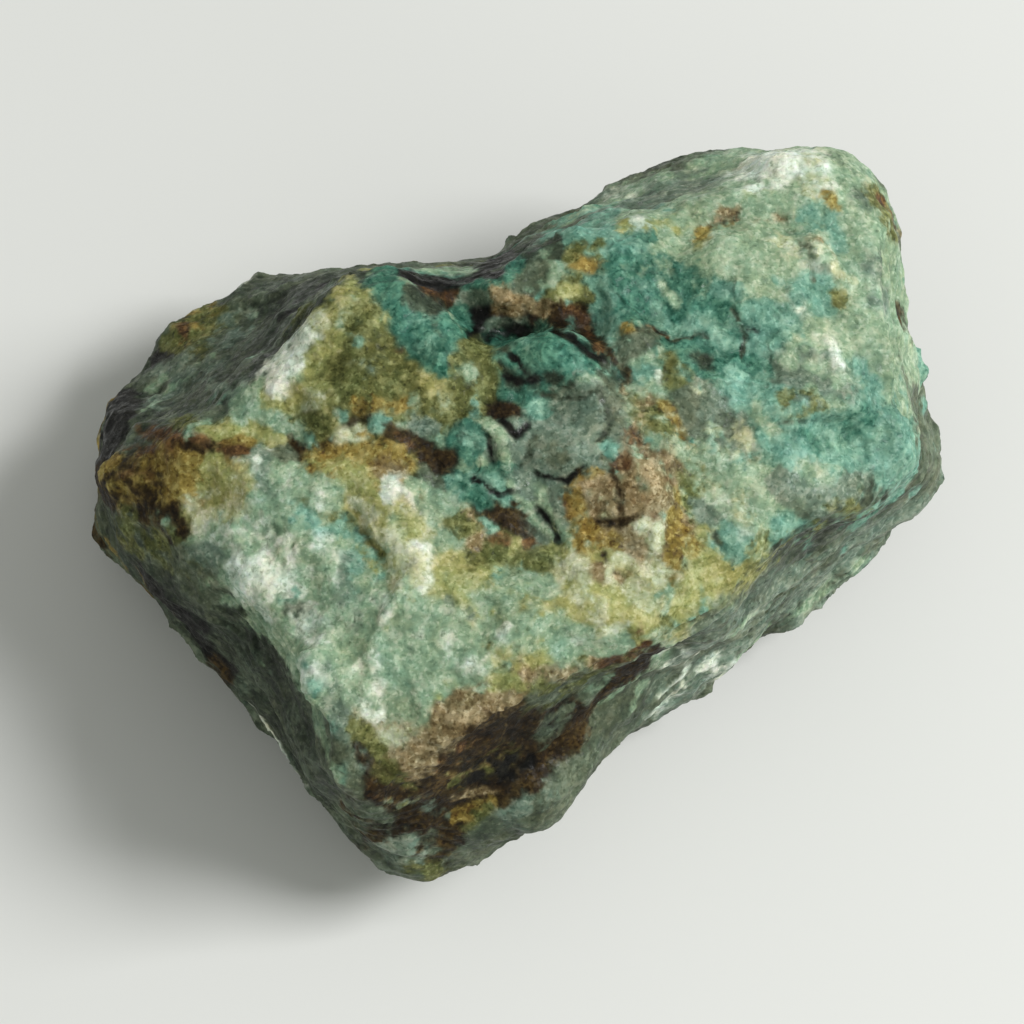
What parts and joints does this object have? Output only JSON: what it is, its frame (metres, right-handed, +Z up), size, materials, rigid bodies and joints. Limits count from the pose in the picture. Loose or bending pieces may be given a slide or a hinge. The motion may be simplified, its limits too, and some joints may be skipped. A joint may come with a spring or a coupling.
{
  "type": "chrysocolla specimen",
  "caption": "Rough broken lump of chrysocolla: a lumpy blue-green crust with ochre and brown veins over grey-green rock, lying on its flat underside.",
  "frame": {"origin": "middle of the flat underside: centre of the bounding box in plan, on the surface it lies on", "axes": "+X along the longest extent, towards the sharp right-hand corner; +Y towards the back ledge; +Z up, through the crusted upper face"},
  "size_m": [0.0556, 0.0474, 0.027],
  "materials": {
    "stone": "rough crust, dull to slightly glassy"
  },
  "bodies": {
    "root": {"chrysocolla_specimen": "stone"}
  },
  "joints": []
}
